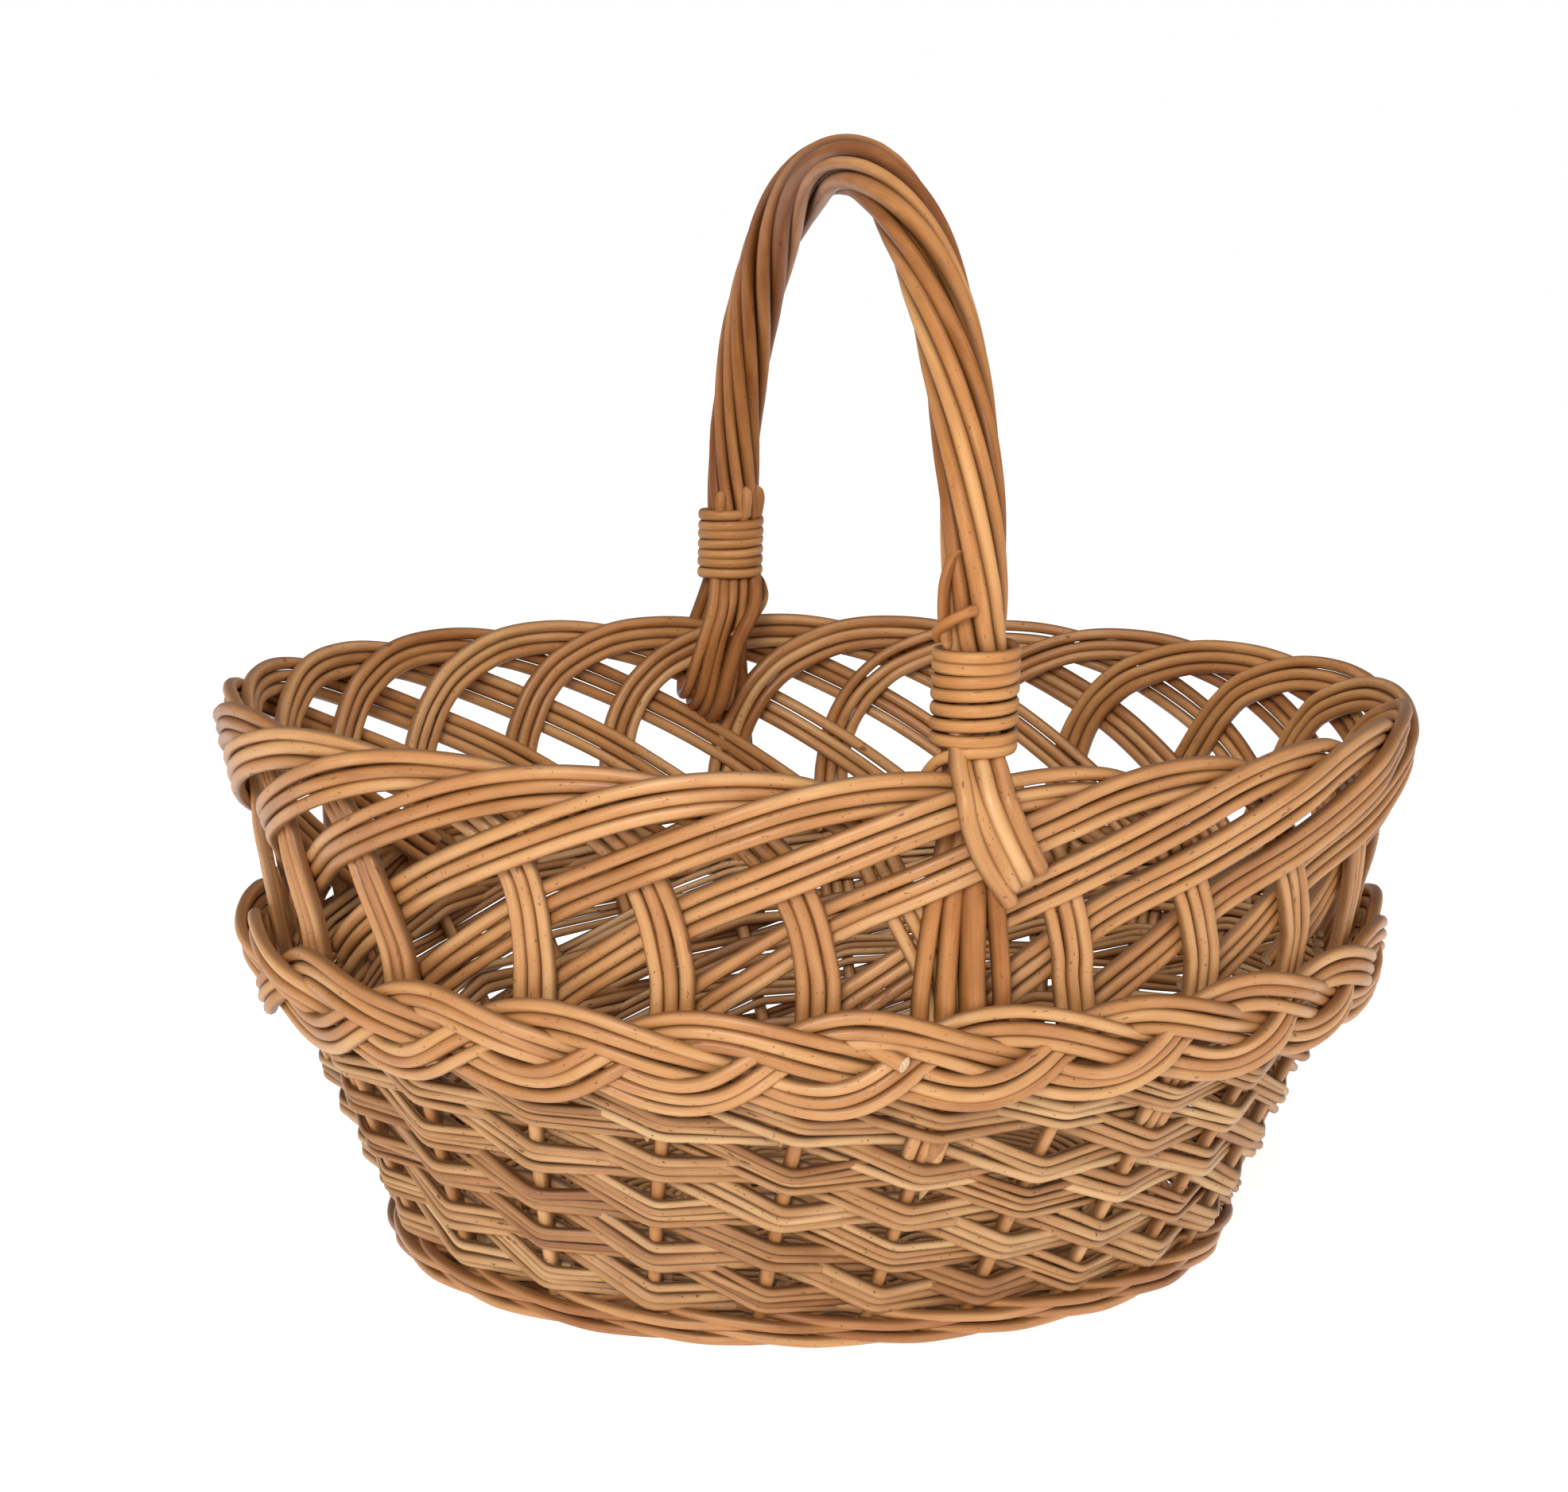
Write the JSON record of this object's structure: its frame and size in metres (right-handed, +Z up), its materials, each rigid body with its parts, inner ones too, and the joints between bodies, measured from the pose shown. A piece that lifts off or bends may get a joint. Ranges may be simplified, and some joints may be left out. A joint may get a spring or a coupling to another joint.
{
  "type": "woven market basket",
  "caption": "Oval willow market basket with a randed body, a plaited waist, an openwork border of looped rod bundles and a fixed rope-twisted bow handle.",
  "frame": {"origin": "on the floor, under the middle of the base", "axes": "+Z up through the handle's top; +X along the basket's length; +Y across it, from the near handle foot to the far one"},
  "size_m": [0.4194, 0.3302, 0.381],
  "materials": {
    "buff_willow": "satin, peeled and boiled willow",
    "pale_willow": "satin, paler thin willow rods",
    "brown_willow": "satin, darker orange-brown willow"
  },
  "bodies": {
    "root": {"base_weave": "pale_willow", "base_sticks": "buff_willow", "upsett_wale": "buff_willow", "stake_01": "buff_willow", "stake_02": "buff_willow", "stake_03": "buff_willow", "stake_04": "buff_willow", "stake_05": "buff_willow", "stake_06": "buff_willow", "stake_07": "buff_willow", "stake_08": "buff_willow", "stake_09": "buff_willow", "stake_10": "buff_willow", "stake_11": "buff_willow", "stake_12": "buff_willow", "stake_13": "buff_willow", "stake_14": "buff_willow", "stake_15": "buff_willow", "stake_16": "buff_willow", "stake_17": "buff_willow", "stake_18": "buff_willow", "stake_19": "buff_willow", "stake_20": "buff_willow", "stake_21": "buff_willow", "stake_22": "buff_willow", "stake_23": "buff_willow", "stake_24": "buff_willow", "weaver_01": "pale_willow", "weaver_02": "pale_willow", "weaver_03": "pale_willow", "weaver_04": "pale_willow", "weaver_05": "pale_willow", "weaver_06": "pale_willow", "weaver_07": "pale_willow", "weaver_08": "pale_willow", "weaver_09": "pale_willow", "weaver_10": "pale_willow", "weaver_11": "pale_willow", "weaver_12": "pale_willow", "weaver_13": "pale_willow", "weaver_14": "pale_willow", "weaver_15": "pale_willow", "weaver_16": "pale_willow", "weaver_17": "pale_willow", "weaver_18": "pale_willow", "weaver_19": "pale_willow", "weaver_20": "pale_willow", "weaver_21": "pale_willow", "weaver_22": "pale_willow", "weaver_23": "pale_willow", "weaver_24": "pale_willow", "plait_strand_1": "buff_willow", "plait_strand_2": "buff_willow", "plait_strand_3": "buff_willow", "handle_bow": "brown_willow", "collar_near": "buff_willow", "collar_far": "buff_willow", "hook_near": "buff_willow", "hook_far": "buff_willow"}
  },
  "joints": []
}
